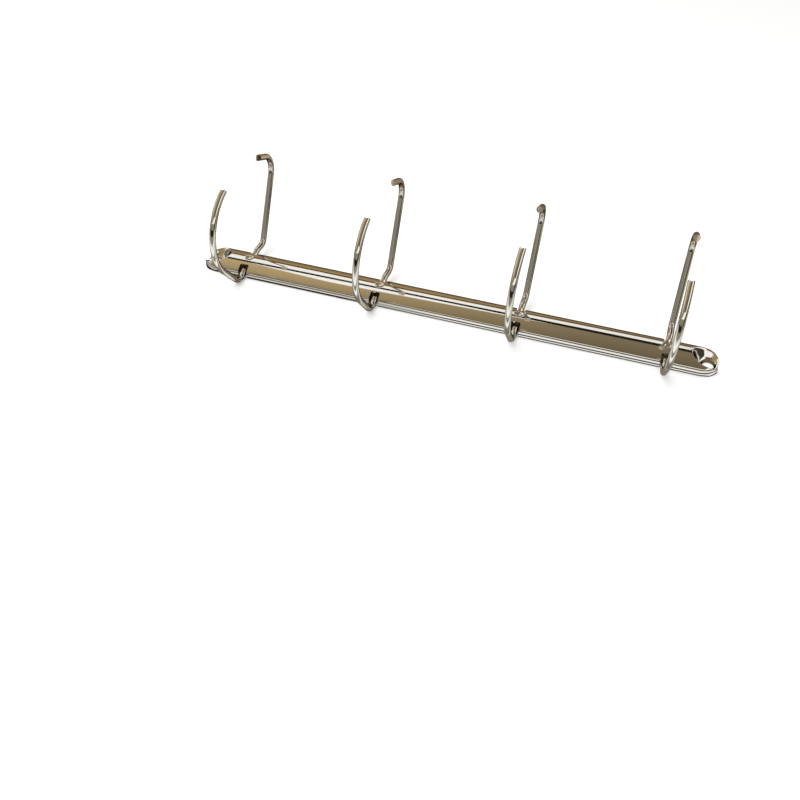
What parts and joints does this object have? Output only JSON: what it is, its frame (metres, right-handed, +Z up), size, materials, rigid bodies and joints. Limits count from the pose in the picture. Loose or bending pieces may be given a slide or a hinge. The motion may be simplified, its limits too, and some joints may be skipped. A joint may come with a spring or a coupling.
{
  "type": "ring binder mechanism",
  "caption": "Open ring binder mechanism: arched nickel-plated cover with dished rivet holes, bowed ring halves, hooked posts and two hinged rails.",
  "frame": {"origin": "middle between the two rivet holes, on the plane that the cover rests on", "axes": "+X along the cover, +Y from the bowed halves towards the hooked posts, +Z up out of the cover"},
  "size_m": [0.293, 0.0785, 0.0623],
  "materials": {
    "nickel": "bright nickel plate",
    "rail_steel": "plain plated"
  },
  "bodies": {
    "cover": {"cover": "nickel"},
    "near_half": {"near_rail": "rail_steel", "curved_ring_1": "nickel", "curved_ring_2": "nickel", "curved_ring_3": "nickel", "curved_ring_4": "nickel"},
    "far_half": {"far_rail": "rail_steel", "post_ring_1": "nickel", "post_ring_2": "nickel", "post_ring_3": "nickel", "post_ring_4": "nickel"}
  },
  "joints": [
    {"name": "near_swing", "type": "hinge", "parent": "cover", "child": "near_half", "pos_m": [0, -0.00895, 0.00145], "axis": [-1, 0, 0], "range_deg": [0, 20]},
    {"name": "far_swing", "type": "hinge", "parent": "cover", "child": "far_half", "pos_m": [0, 0.00895, 0.00145], "axis": [1, 0, 0], "range_deg": [0, 20]}
  ],
  "couplings": [
    {"joint": "far_swing", "follows": "near_swing", "ratio": 1}
  ]
}
